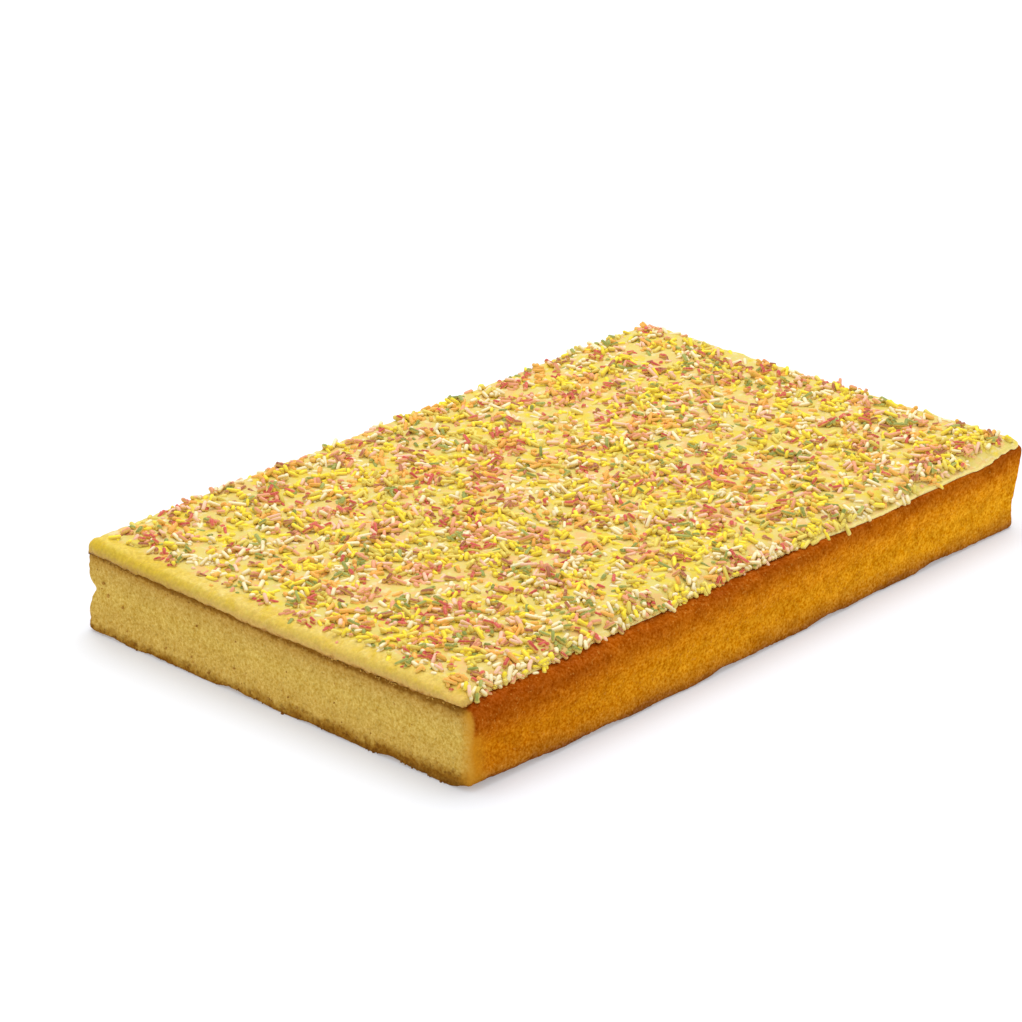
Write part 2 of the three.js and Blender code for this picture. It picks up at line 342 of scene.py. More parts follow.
def stack_faces(rows, count):
    """Quads between rings of that count, and triangles to the middle vertices before and after them."""
    i = np.arange(count)
    j = (i + 1) % count
    starts = 1 + count * np.arange(rows)
    quads = [np.stack([low + i, low + j, high + j, high + i], 1) for low, high in zip(starts, starts[1:])]
    first_fan = np.stack([0 * i, starts[0] + j, starts[0] + i], 1)
    last_fan = np.stack([0 * i + 1 + rows * count, starts[-1] + i, starts[-1] + j], 1)
    return np.concatenate(quads), np.concatenate([first_fan, last_fan])


def skin(rings):
    """Vertices, quads and triangles of the closed skin over a stack of rings."""
    verts = np.concatenate([rings[0].mean(axis=0)[None], *rings, rings[-1].mean(axis=0)[None]])
    return verts, *stack_faces(len(rings), len(rings[0]))


def vertex_normals(verts, quads, tris):
    normals = np.zeros_like(verts)
    for faces in (quads, tris):
        a, b, c = verts[faces[:, 0]], verts[faces[:, 1]], verts[faces[:, -1]]
        if faces.shape[1] == 4:
            across = np.cross(verts[faces[:, 2]] - a, c - b)
        else:
            across = np.cross(b - a, c - a)
        for k in range(faces.shape[1]):
            for axis in range(3):
                normals[:, axis] += np.bincount(faces[:, k], across[:, axis], len(verts))
    return normals / np.maximum(np.linalg.norm(normals, axis=1, keepdims=True), 1e-9)


def make_object(name, verts, face_sets, material):
    mesh = bpy.data.meshes.new(name)
    sizes = np.concatenate([np.full(len(f), f.shape[1]) for f in face_sets]).astype(np.int32)
    corners = np.concatenate([f.ravel() for f in face_sets]).astype(np.int32)
    mesh.vertices.add(len(verts))
    mesh.vertices.foreach_set("co", (verts * MM).astype(np.float32).ravel())
    mesh.loops.add(len(corners))
    mesh.loops.foreach_set("vertex_index", corners)
    mesh.polygons.add(len(sizes))
    starts = np.concatenate([[0], np.cumsum(sizes)[:-1]]).astype(np.int32)
    mesh.polygons.foreach_set("loop_start", starts)
    mesh.polygons.foreach_set("use_smooth", np.ones(len(sizes), dtype=bool))
    mesh.update(calc_edges=True)
    mesh.validate()
    mesh.materials.append(material)
    obj = bpy.data.objects.new(name, mesh)
    bpy.context.scene.collection.objects.link(obj)
    return obj


# ---------------------------------------- materials


def linear(rgb, light):
    """Scene-linear colour of a surface that shows as this 0 to 255 colour under that much light."""
    channels = [((v / 255 + 0.055) / 1.055) ** 2.4 if v > 10 else v / 255 / 12.92 for v in rgb]
    return (*[min(c / light, 1.0) for c in channels], 1.0)


class Shader:
    """One material's nodes, worked out from the place on the piece in millimetres."""

    def __init__(self, name, roughness, specular):
        self.material = bpy.data.materials.new(name)
        self.material.use_nodes = True
        self.tree = self.material.node_tree
        self.bsdf = self.tree.nodes["Principled BSDF"]
        self.bsdf.inputs["Roughness"].default_value = roughness
        self.bsdf.inputs["Specular IOR Level"].default_value = specular
        place = self.node("ShaderNodeTexCoord", {}, output="Object")
        self.place = self.node("ShaderNodeVectorMath", {0: place, 3: 1 / MM}, operation="SCALE")
        split = self.tree.nodes.new("ShaderNodeSeparateXYZ")
        self.tree.links.new(self.place, split.inputs[0])
        self.x, self.y, self.z = split.outputs

    def node(self, kind, inputs, output=0, **settings):
        node = self.tree.nodes.new(kind)
        for key, value in settings.items():
            setattr(node, key, value)
        for key, value in inputs.items():
            if isinstance(value, bpy.types.NodeSocket):
                self.tree.links.new(value, node.inputs[key])
            else:
                node.inputs[key].default_value = value
        return node.outputs[output]

    def math(self, operation, a, b):
        return self.node("ShaderNodeMath", {0: a, 1: b}, operation=operation)

    def step(self, value, low, high):
        """0 below low, 1 above high and smooth between them."""
        inputs = {"Value": value, "From Min": low, "From Max": high}
        return self.node("ShaderNodeMapRange", inputs, interpolation_type="SMOOTHSTEP")

    def fall(self, value, low, high):
        """1 below low, 0 above high and smooth between them."""
        return self.math("SUBTRACT", 1.0, self.step(value, low, high))

    def times(self, a, b):
        return self.math("MULTIPLY", a, b)

    def plus(self, *terms):
        total = terms[0]
        for term in terms[1:]:
            total = self.math("ADD", total, term)
        return total

    def between(self, value, low, high, out_low, out_high):
        inputs = {"Value": value, "From Min": low, "From Max": high, "To Min": out_low, "To Max": out_high}
        return self.node("ShaderNodeMapRange", inputs)

    def noise(self, size, detail=2.0, roughness=0.5, stretch=None):
        place = self.place
        if stretch:
            place = self.node("ShaderNodeVectorMath", {0: place, 1: stretch}, operation="MULTIPLY")
        inputs = {"Vector": place, "Scale": 1 / size, "Detail": detail, "Roughness": roughness}
        return self.node("ShaderNodeTexNoise", inputs)

    def wander(self, amount, size, detail=2.0, roughness=0.5, stretch=None):
        """Noise about zero."""
        return self.times(self.math("SUBTRACT", self.noise(size, detail, roughness, stretch), 0.5), amount)

    def cells(self, size):
        return self.node("ShaderNodeTexVoronoi", {"Vector": self.place, "Scale": 1 / size})

    def facing(self, axis):
        """How far the surface faces along an axis, from -1 to 1."""
        normal = self.node("ShaderNodeNewGeometry", {}, output="Normal")
        return self.node("ShaderNodeSeparateXYZ", {0: normal}, output="XYZ".index(axis))

    def island(self):
        """A random number for each separate strand or crumb."""
        return self.node("ShaderNodeNewGeometry", {}, output="Random Per Island")

    def dip(self):
        """How far the top sags at a place across the cut face."""
        across = self.math("POWER", self.math("DIVIDE", self.y, HALF_WIDTH), 2.0)
        return self.times(self.math("SUBTRACT", 1.0, across), SAG)

    def mix(self, factor, a, b, blend="MIX"):
        return self.node(
            "ShaderNodeMix", {0: factor, 6: a, 7: b}, output=2, data_type="RGBA", blend_type=blend
        )

    def ramp(self, value, span, stops):
        """Colours along value, each stop at a place in the same unit as the span's two ends."""
        node = self.tree.nodes.new("ShaderNodeValToRGB")
        low, high = span
        elements = node.color_ramp.elements
        while len(elements) < len(stops):
            elements.new(0.5)
        for element, (place, _) in zip(elements, stops):
            element.position = (place - low) / (high - low)
        for element, (_, colour) in zip(elements, stops):
            element.color = colour
        self.tree.links.new(self.between(value, low, high, 0.0, 1.0), node.inputs[0])
        return node.outputs[0]

    def grained(self, base, grain, amounts):
        """Base lightened and darkened by grain, from 0.3 to 0.7, by its own amount in each channel."""
        spans = [self.between(grain, 0.3, 0.7, 1 - amount, 1 + amount) for amount in amounts]
        factors = {channel: self.math("MAXIMUM", span, 0.0) for channel, span in enumerate(spans)}
        return self.mix(1.0, base, self.node("ShaderNodeCombineColor", factors), "MULTIPLY")

    def colour(self, socket):
        self.tree.links.new(socket, self.bsdf.inputs["Base Color"])

    def bump(self, height, distance_mm, strength):
        inputs = {"Height": height, "Distance": distance_mm * MM, "Strength": strength}
        self.tree.links.new(self.node("ShaderNodeBump", inputs), self.bsdf.inputs["Normal"])

    def roughen(self, socket):
        self.tree.links.new(socket, self.bsdf.inputs["Roughness"])

    def let_light_in(self, weight, radius, scale_mm):
        self.bsdf.inputs["Subsurface Weight"].default_value = weight
        self.bsdf.inputs["Subsurface Radius"].default_value = radius
        self.bsdf.inputs["Subsurface Scale"].default_value = scale_mm * MM


def lit(light, stops):
    """Colour stops whose colours show as these 0 to 255 colours under that much light."""
    return [(place, linear(rgb, light)) for place, rgb in stops]


# How bright a white surface shows on each face, as a share of full white
TOP_LIGHT = 1.43
STRAND_LIGHT = 1.02
NEAR_LIGHT = 1.06
CUT_LIGHT = 0.91
RIM_LIGHT = 1.02
COATED_LIGHT = 0.95

# Colours by height in millimetres, from the foot up
CRUST_SPAN = (0, 32)
DEEP_CRUST = [
    (0, (124, 70, 32)), (2, (144, 82, 30)), (4, (181, 111, 27)), (9, (195, 113, 12)),
    (14, (201, 120, 12)), (20, (183, 98, 12)), (25, (168, 83, 11)), (31, (148, 66, 11)),
]
PALE_CRUST = [
    (0, (136, 82, 34)), (2, (164, 100, 32)), (4, (197, 127, 30)), (9, (226, 153, 22)),
    (14, (224, 150, 20)), (20, (226, 145, 22)), (26, (193, 108, 15)), (31, (153, 73, 11)),
]
# The top stops, under the icing, are partly the top crust and partly painted shadow under the bead
CRUMB = [
    (0.5, (128, 86, 28)), (2.2, (140, 94, 27)), (4.0, (172, 130, 52)), (6.4, (201, 164, 79)),
    (18, (204, 170, 81)), (25, (194, 158, 77)), (28, (178, 137, 62)), (29.5, (130, 88, 28)),
]
# The bead's height, its light there, and its colour at the near and at the far end
BEAD_SPAN = (29, 37)
BEAD_LOOKS = [
    # The lowest, brown stops are partly crust colour and partly painted shadow at the bead's foot
    (29.8, 0.76, (134, 88, 20), (112, 68, 6)),
    (30.7, 0.82, (158, 112, 34), (130, 84, 8)),
    (31.3, 0.96, (200, 158, 76), (176, 134, 42)),
    (32.5, 1.08, (214, 177, 82), (202, 162, 58)),
    (33.8, 1.15, (220, 186, 80), (216, 180, 56)),
    (35.4, 1.3, (232, 201, 86), (228, 194, 52)),
    # The pale crown is partly a painted highlight on the bead's crest
    (36.4, 1.4, (250, 222, 124), (244, 212, 78)),
]
# Stains in the icing: size, the noise where they start and are full, strength, colour
STAINS = [
    (7.0, 0.49, 0.61, 0.75, (252, 198, 124)),
    (8.2, 0.5, 0.62, 0.8, (246, 220, 42)),
    (3.1, 0.54, 0.68, 0.7, (252, 234, 172)),
    (5.6, 0.58, 0.70, 0.4, (222, 212, 116)),
]


def crust_colour(s):
    """Baked crust, deeper towards the cut end, with painted shade on the sides that face the lamp."""
    drift = s.wander(7.0, 9, 3.0, 0.6, (0.4, 0.4, 1.0))
    height = s.plus(s.z, drift)
    deep = s.ramp(height, CRUST_SPAN, lit(NEAR_LIGHT, DEEP_CRUST))
    pale = s.ramp(height, CRUST_SPAN, lit(NEAR_LIGHT, PALE_CRUST))
    along = s.plus(s.times(s.step(s.x, -150.0, -30.0), 0.65), s.times(s.step(s.x, 0.0, 110.0), 0.35))
    crust = s.mix(along, deep, pale)
    crust = s.grained(crust, s.noise(4.0, 3.0, 0.6), (0.17, 0.22, 0.4))
    crust = s.grained(crust, s.noise(1.0, 4.0, 0.65), (0.24, 0.48, 2.2))
    # Painted highlights: sparse pale specks stand in for small glints on the crust
    painted_glint = s.step(s.noise(1.1, 2.0, 0.6), 0.6, 0.72)
    crust = s.mix(s.times(painted_glint, 0.28), crust, linear((240, 178, 84), NEAR_LIGHT))
    by_cut = s.fall(s.plus(s.x, drift), -HALF_LENGTH + 0.5, -HALF_LENGTH + 8)
    by_cut = s.times(by_cut, s.fall(height, 17.0, 24.0))
    crust = s.mix(s.times(by_cut, 0.6), crust, linear((206, 142, 34), NEAR_LIGHT))
    # Painted shade: the end and far sides face the lamp, so they are darkened to offset the extra light
    # they get
    painted_shade_lamp_sides = s.step(s.plus(s.facing("X"), s.facing("Y")), 0.3, 0.9)
    return s.mix(painted_shade_lamp_sides, crust, s.mix(1.0, crust, (0.74, 0.7, 0.75, 1.0), "MULTIPLY"))


def crumb_colour(s, wander):
    """Crumb, browner at its foot and towards the crust, and darker under the icing, partly top crust and
    partly painted shadow under the bead.
    """
    across = s.math("SUBTRACT", s.y, 25.0)
    low = s.times(s.times(across, 0.018), s.fall(s.z, 4.0, 12.0))
    high = s.times(s.times(across, -0.012), s.step(s.z, 18.0, 26.0))
    scorch = s.times(s.wander(-7.0, 7, 3.0, 0.6), s.fall(s.z, 3.0, 9.0))
    height = s.plus(s.z, s.dip(), wander, scorch, s.plus(low, high))
    crumb = s.ramp(height, CRUST_SPAN, lit(CUT_LIGHT, CRUMB))
    open_crumb = s.step(s.noise(2.2), 0.42, 0.6)
    # Painted shade in the pores: the crumb is darkened inside small round cells wherever the crumb is open
    pore_shade = s.between(s.cells(1.7), 0.05, 0.35, 0.74, 1.0)
    pore_shade = s.plus(s.times(pore_shade, open_crumb), s.math("SUBTRACT", 1.0, open_crumb))
    crumb = s.mix(1.0, crumb, s.node("ShaderNodeCombineColor", {0: pore_shade, 1: pore_shade, 2: pore_shade}), "MULTIPLY")
    crumb = s.grained(crumb, s.noise(4.5, 2.0, 0.5), (0.06, 0.07, 0.12))
    crumb = s.grained(crumb, s.noise(1.0, 4.0, 0.7), (0.26, 0.4, 0.8))
    burnt = s.times(s.step(s.noise(1.9, 2.0, 0.6), 0.52, 0.62), s.fall(height, 3.0, 7.0))
    toasted = s.step(s.noise(1.5, 2.0, 0.6), 0.64, 0.74)
    place = s.plus(s.y, wander)
    for spread, share, rgb in [
        (burnt, 0.45, (98, 58, 16)),
        (toasted, 0.4, (150, 108, 40)),
        (s.fall(place, -HALF_WIDTH - 1.5, -HALF_WIDTH + 5), 0.85, (196, 136, 40)),
        (s.step(place, HALF_WIDTH - 2, HALF_WIDTH + 1), 0.5, (160, 112, 44)),
    ]:
        crumb = s.mix(s.times(spread, share), crumb, linear(rgb, CUT_LIGHT))
    return crumb


def sponge_material():
    s = Shader("sponge_crumb_and_crust", roughness=0.75, specular=0.0)
    wander = s.wander(3.0, 3, 3.0, 0.65)
    on_cut = s.fall(s.plus(s.x, s.times(wander, 0.4)), -HALF_LENGTH - 0.3, -HALF_LENGTH + 1.4)
    s.colour(s.mix(on_cut, crust_colour(s), crumb_colour(s, wander)))
    s.roughen(s.between(on_cut, 0.0, 1.0, 0.5, 0.85))
    s.bump(s.plus(s.noise(1.0, 3.0, 0.7), s.times(s.cells(0.9), 0.5)), 0.35, 0.6)
    return s.material


def bead_colour(s, wander):
    """The bead on the cut edge, brown and crumbed at its foot, partly crust colour and partly painted
    shadow, lemon at its crown, with a painted highlight on its crest.
    """
    height = s.plus(s.z, s.dip(), wander)
    near = [(z, linear(rgb, light)) for z, light, rgb, _ in BEAD_LOOKS]
    far = [(z, linear(rgb, light)) for z, light, _, rgb in BEAD_LOOKS]
    farther = s.step(s.plus(s.y, s.times(wander, 3.0)), 20.0, 60.0)
    bead = s.mix(farther, s.ramp(height, BEAD_SPAN, near), s.ramp(height, BEAD_SPAN, far))
    lemon = s.times(s.step(s.noise(8, 2.0, 0.5), 0.5, 0.62), s.step(height, 32.5, 35.0))
    bead = s.mix(s.times(lemon, 0.6), bead, linear((232, 194, 36), 1.35))
    return s.grained(bead, s.noise(1.2, 4.0, 0.7), (0.15, 0.18, 0.3))


def icing_material():
    s = Shader("lemon_icing", roughness=0.5, specular=0.25)
    tints = [(0.3, (244, 218, 126)), (0.5, (242, 220, 116)), (0.7, (238, 222, 118))]
    base = s.ramp(s.noise(14, 3.0, 0.5), (0.3, 0.7), lit(TOP_LIGHT, tints))
    for size, low, high, share, rgb in STAINS:
        stain = s.step(s.noise(size, 2.0, 0.5), low, high)
        base = s.mix(s.times(stain, share), base, linear(rgb, TOP_LIGHT))
    # Painted light: icing that faces away from up is painted paler, to lift the shade on the sides of the
    # lip and bead
    painted_side_light = s.fall(s.facing("Z"), 0.35, 0.92)
    base = s.mix(painted_side_light, base, linear((248, 224, 138), RIM_LIGHT))
    wander = s.wander(4.0, 1.7, 3.0, 0.6)
    on_bead = s.fall(s.plus(s.x, wander), -HALF_LENGTH + 3.5, -HALF_LENGTH + 7.5)
    s.colour(s.mix(on_bead, base, bead_colour(s, wander)))
    s.let_light_in(0.15, (1.0, 0.7, 0.3), 2)
    s.bump(s.noise(1.8, 3.0, 0.5), 0.2, 0.5)
    return s.material


def crumb_material():
    s = Shader("loose_sponge_crumbs", roughness=0.8, specular=0.0)
    pale = s.mix(s.island(), linear((148, 104, 40), CUT_LIGHT), linear((192, 150, 72), CUT_LIGHT))
    base = s.mix(s.step(s.z, 0.8, 5.0), linear((122, 78, 26), CUT_LIGHT), pale)
    s.colour(s.grained(base, s.noise(0.3, 2.0, 0.6), (0.2, 0.3, 0.5)))
    return s.material


def strand_material(name, rgb, spread):
    s = Shader("sugar_" + name, roughness=0.45, specular=0.2)
    dark = linear([v * (1 - spread) for v in rgb], STRAND_LIGHT)
    pale = linear([v + (255 - v) * spread for v in rgb], STRAND_LIGHT)
    worn = s.step(s.noise(0.8, 2.0, 0.6), 0.5, 0.75)
    base = s.mix(s.times(worn, 0.3), s.mix(s.island(), dark, pale), linear((244, 216, 140), STRAND_LIGHT))
    # Icing creeps up the sides of a strand that sank in; that coat is painted brighter than the icing
    # itself, partly the icing's colour and partly painted light that lifts the shade on the strand's sides
    coat_and_side_light = s.fall(s.plus(s.facing("Z"), s.wander(0.9, 1.1)), 0.1, 0.7)
    s.colour(s.mix(s.times(coat_and_side_light, 0.7), base, linear((235, 206, 107), COATED_LIGHT)))
    s.let_light_in(0.1, (1.0, 0.8, 0.6), 0.5)
    s.bump(s.noise(0.35, 2.0, 0.5), 0.05, 0.4)
    return s.material


# ---------------------------------------- the sponge


PORE_COUNT = 3600
PORE_MAP = dict(pitch=0.15, half_width=100, height=34)


def pore_depth(y, z, rng):
    """Depth of the crumb's open pores at places on the cut face, from a fine map of round pits."""
    pitch, half_width = PORE_MAP["pitch"], PORE_MAP["half_width"]
    width, height = int(2 * half_width / pitch), int(PORE_MAP["height"] / pitch)
    depth = np.zeros((width, height))
    for _ in range(PORE_COUNT):
        cy, cz = rng.uniform(-98, 98), rng.uniform(0.4, 31)
        radius = 0.25 + 0.9 * rng.random() ** 3.2
        stretch = rng.uniform(0.8, 1.3)
        from_side = cy + half_width
        i0, i1 = int((from_side - 2 * radius) / pitch), int((from_side + 2 * radius) / pitch) + 1
        j0, j1 = max(int((cz - 2 * radius) / pitch), 0), min(int((cz + 2 * radius) / pitch) + 1, height)
        i, j = np.mgrid[i0:i1, j0:j1]
        d = np.hypot((i * pitch - from_side) / stretch, j * pitch - cz) / radius
        pit = 0.55 * radius * (1 - smoothstep(d, 0.3, 1.1))
        depth[i0:i1, j0:j1] = np.maximum(depth[i0:i1, j0:j1], pit)
    i = np.clip(((y + half_width) / pitch).astype(int), 0, width - 1)
    j = np.clip((z / pitch).astype(int), 0, height - 1)
    return depth[i, j]


def round_upright_edges(verts, st, rows, cut, radius):
    """Softens the two upright edges of the cut face, which stands at x = cut."""
    count = len(st.t)
    grid = verts[1:-1].reshape(rows, count, 3).copy()
    for corner, side, reach in ((0, 1, radius["near"]), (int(np.argmax(st.on_cut)), -1, radius["far"])):
        edge_y = grid[:, corner, 1][:, None]
        inward = (grid[:, :, 1] - edge_y) * side
        along = grid[:, :, 0] - cut
        dx, dy = along - reach, inward - reach
        length = np.hypot(dx, dy)
        pull = (dx < 0) & (dy < 0) & (length > reach)
        scale = np.where(pull, reach / np.maximum(length, 1e-6), 1)
        grid[:, :, 0] = np.where(pull, cut + reach + dx * scale, grid[:, :, 0])
        grid[:, :, 1] = np.where(pull, edge_y + side * (reach + dy * scale), grid[:, :, 1])
    return np.concatenate([verts[:1], grid.reshape(-1, 3), verts[-1:]])


def hump(z, middle, reach):
    return np.exp(-(((z - middle) / reach) ** 2))


def sponge_relief(verts, normals):
    """How far the crust and the crumb stand out from the plain skin."""
    x, y, z = verts.T
    on_cut = (1 - smoothstep(x, -HALF_LENGTH - 0.2, -HALF_LENGTH + 0.4)) * (normals[:, 0] < -0.6)
    showing = smoothstep(z, -0.1, 0.5) * (1 - smoothstep(z, SPONGE_HEIGHT - 0.6, SPONGE_HEIGHT))
    crust = 0.16 * noise(verts, 1.3, 1) + 0.14 * noise(verts, 2.7, 2)
    crust += 0.25 * noise(verts, 11, 3) * smoothstep(x, -HALF_LENGTH, -HALF_LENGTH + 10)
    pores = pore_depth(y, z, np.random.default_rng(11))
    crumb = 0.14 * noise(verts, 0.9, 4) + 0.15 * noise(verts, 3.1, 5) + 0.1 - pores
    # The knife tore the far upright edge
    torn = hump(x, -HALF_LENGTH, 2.5) * (y > HALF_WIDTH - 6) * (np.abs(normals[:, 1]) > 0.3)
    ragged = 0.5 * noise(verts, 1.7, 7) + 0.45 * noise(verts, 4.2, 8) - 0.2
    ragged += 0.5 * hump(z, 21, 2) - 1.1 * hump(z, 17, 1.6)
    # The near corner of the baked end bulges at half height
    by_corner = 1 - smoothstep(y, -HALF_WIDTH + 2, -HALF_WIDTH + 9)
    by_corner = smoothstep(x, HALF_LENGTH - 9, HALF_LENGTH - 2) * by_corner
    bulge = 0.85 * hump(z, 13, 3) - 0.8 * hump(z, 22, 4) - 0.45 * hump(z, 4, 3)
    return (lerp(crust, crumb, on_cut) + torn * ragged + by_corner * bulge) * showing


def make_sponge(shift):
    st = Stations(near=395, corner=8, end=225, far=300, cut=430)
    rings = [underside_ring(st, scale) for scale in (0.5, 0.8, 0.9, 0.95, 0.98)]
    rings += [foot_ring(st, angle) for angle in (0, 20, 40, 60, 75)]
    rings += [side_ring(st, share) for share in np.linspace(0, 1, 48)]
    rings += [shoulder_ring(st, angle) for angle in (12, 24, 36, 48, 60, 75, 90)]
    rings += [flat_ring(st, scale) for scale in (0.965, 0.5)]
    verts, quads, tris = skin(rings)
    normals = vertex_normals(verts, quads, tris)
    x, y, z = verts.T
    verts = verts + normals * sponge_relief(verts, normals)[:, None]
    verts[:, 2] += corner_rise(x, y) * smoothstep(z, 22, 29)
    verts = round_upright_edges(verts, st, len(rings), -HALF_LENGTH, EDGE_ROUND)
    verts[:, 2] = np.maximum(verts[:, 2], 0.0)
    obj = make_object("cake_sponge", verts + shift, [quads, tris], sponge_material())
    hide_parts("sponge")
    return obj


CRUMB_COUNT = 170
CRUMB_RADIUS = (0.2, 0.56)
BEAD_FOOT = 29.6  # height of the bead's foot at the cut face's two ends


def cling_places(sponge, rng):
    """Places on the cut face for the crumbs, most of them under the bead and along the foot."""
    places = np.empty(3 * len(sponge.data.vertices), dtype=np.float32)
    sponge.data.vertices.foreach_get("co", places)
    places = places.reshape(-1, 3).astype(float) / MM
    x, y, z = places.T
    below_bead = BEAD_FOOT - SAG * (1 - (y / HALF_WIDTH) ** 2) - z
    on_cut = (x < x.min() + 1.2) & (z > 0.2) & (below_bead > 0) & (np.abs(y) < HALF_WIDTH - 2)
    places, below_bead = places[on_cut], below_bead[on_cut]
    share = np.exp(-below_bead / 0.5) + 0.06 * np.exp(-places[:, 2] / 1.5) + 0.006
    return places[rng.choice(len(places), CRUMB_COUNT, replace=False, p=share / share.sum())]


def make_crumbs(sponge):
    rng = np.random.default_rng(37)
    centres = cling_places(sponge, rng)
    radius = CRUMB_RADIUS[0] + (CRUMB_RADIUS[1] - CRUMB_RADIUS[0]) * rng.random(CRUMB_COUNT) ** 2
    centres[:, 0] -= 0.35 * radius
    ball = bmesh.new()
    bmesh.ops.create_icosphere(ball, subdivisions=2, radius=1)
    directions = np.array([v.co[:] for v in ball.verts])
    tris = np.array([[v.index for v in face.verts] for face in ball.faces])
    ball.free()
    lumps = radius[:, None, None] * rng.uniform(0.7, 1.3, (CRUMB_COUNT, 1, 3)) * directions
    places = centres[:, None] + lumps
    uneven = 1 + 0.4 * noise(places.reshape(-1, 3), 0.45, 51)
    verts = (centres[:, None] + lumps * uneven.reshape(CRUMB_COUNT, -1, 1)).reshape(-1, 3)
    verts[:, 2] = np.maximum(verts[:, 2], 0.0)
    tris = (tris + (np.arange(CRUMB_COUNT) * len(directions))[:, None, None]).reshape(-1, 3)
    obj = make_object("loose_sponge_crumbs", verts, [tris], crumb_material())
    return obj


# ---------------------------------------- the icing


def make_icing(shift):
    st = Stations(near=360, corner=8, end=200, far=300, cut=330)
    rings = [flat_ring(st, scale) for scale in (0.5, 0.965)]
    rings += [under_icing_ring(st, share) for share in (0, 0.5, 0.8, 1)]
    rings += [rolled_ring(st, angle) for angle in np.linspace(-70, 90, 14)]
    rings += [slope_ring(st, distance) for distance in (0.8, 1.6, 2.5, 3.5, 4.7, 6, SLOPE_WIDTH)]
    rings += [icing_top_ring(st, scale) for scale in np.linspace(0.97, 0.03, 22)]
    verts, quads, tris = skin(rings)
    normals = vertex_normals(verts, quads, tris)
    x, y, z = verts.T
    under = (normals[:, 2] < -0.2) & (z < SPONGE_HEIGHT + 0.1)
    lumps = 0.22 * noise(verts, 8.5, 21) + 0.12 * noise(verts, 3.2, 22) + 0.05 * noise(verts, 1.3, 23)
    edge = (np.abs(y) > HALF_WIDTH - 9) | (x > HALF_LENGTH - 8)
    lumps += edge * 0.4 * noise(verts * (1, 1, 0.3), 2.0, 24)
    lumps += (x < -HALF_LENGTH + 6) * (0.16 * noise(verts, 1.7, 25) + 0.2 * noise(verts, 4.5, 26))
    verts = verts + normals * np.where(under, 0, lumps)[:, None]
    verts = round_upright_edges(verts, st, len(rings), -HALF_LENGTH - BEAD["overhang"], BEAD_END_ROUND)
    obj = make_object("cake_icing", verts + shift, [quads, tris], icing_material())
    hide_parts("icing")
    return obj


# ---------------------------------------- sugar strands

STRANDS = [
    # name, share of all, colour, spread of shade, family of colours that lie together
    ("cream", 0.255, (243, 228, 184), 0.05, 0),
    ("green", 0.08, (140, 150, 54), 0.16, 0),
    ("yellow", 0.225, (248, 224, 40), 0.08, 1),
    ("lemon", 0.125, (230, 208, 84), 0.1, 1),
    ("orange", 0.085, (248, 176, 74), 0.08, 2),
    ("salmon", 0.08, (232, 150, 108), 0.12, 3),
    ("red", 0.085, (204, 68, 58), 0.12, 3),
    ("pink", 0.09, (247, 194, 164), 0.08, 3),
    ("russet", 0.03, (168, 88, 54), 0.12, 3),
]
CREAM = 0  # its place in the list
STRAND_COUNT = 8900  # tried over the whole top
HALF_STRAND = dict(mean=1.75, spread=0.6, shortest=0.9, longest=3.6)
STRAND_RADIUS = (0.7, 0.99)
SUNK = (0.85, 1.6)  # how far a strand sinks from lying on top, in radii
RING_SIDES = 7
OVER_EDGE = 4.0  # a place this far below the strand's middle is over an edge
PILED = 0.25  # a strand with this much below it lies on other strands
STEEPEST = 0.8  # slope of a strand
HIGHEST = 1.7  # height of a strand's axis above the icing
# How strongly the colours gather in patches, and the range of the map that crowds them together
PATCHES = 5.5
CROWD = (-0.7, 0.1)
MAP_HALF_SIZE = (165, 105)
# How many are tried against the near lip, on its crest, by the baked end and over the lip
ALONG_LIP, ON_CREST, BY_BAKED_END, OVER_LIP = 560, 560, 90, 9
STRAND_PLACES = 9  # along a strand, where the map is asked for what lies below
MAP_PITCH = 0.25
NOTHING = -50.0  # height of the map beside the cake
ABOVE_CAKE = 60  # from where the map looks down


class HeightMap:
    """The height of whatever lies on top, over a square grid, and where icing is within a millimetre."""

    def __init__(self, icing, sponge):
        self.pitch = MAP_PITCH
        self.x0, self.y0 = -HALF_LENGTH - 8, -HALF_WIDTH - 10
        coarse = 2 * MAP_PITCH
        nx = int((LENGTH + 16) / coarse) + 1
        ny = int((WIDTH + 22) / coarse) + 1
        depsgraph = bpy.context.evaluated_depsgraph_get()
        trees = [BVHTree.FromObject(piece, depsgraph) for piece in (icing, sponge)]
        down = Vector((0, 0, -1))
        z = np.full((nx, ny), NOTHING)
        iced = np.zeros((nx, ny), dtype=bool)
        for i in range(nx):
            for j in range(ny):
                start = Vector(((self.x0 + i * coarse) * MM, (self.y0 + j * coarse) * MM, ABOVE_CAKE * MM))
                for tree in trees:
                    hit = tree.ray_cast(start, down)[0]
                    if hit:
                        z[i, j] = hit.z / MM
                        iced[i, j] = tree is trees[0]
                        break
        self.z = np.repeat(np.repeat(z, 2, axis=0), 2, axis=1)
        for axis in (0, 0, 1, 1):
            iced = iced | np.roll(iced, 1, axis) | np.roll(iced, -1, axis)
        self.iced = np.repeat(np.repeat(iced, 2, axis=0), 2, axis=1)
        self.base = self.z.copy()

    def cells(self, x, y):
        i = np.clip(((x - self.x0) / self.pitch).astype(int), 0, self.z.shape[0] - 1)
        j = np.clip(((y - self.y0) / self.pitch).astype(int), 0, self.z.shape[1] - 1)
        return i, j


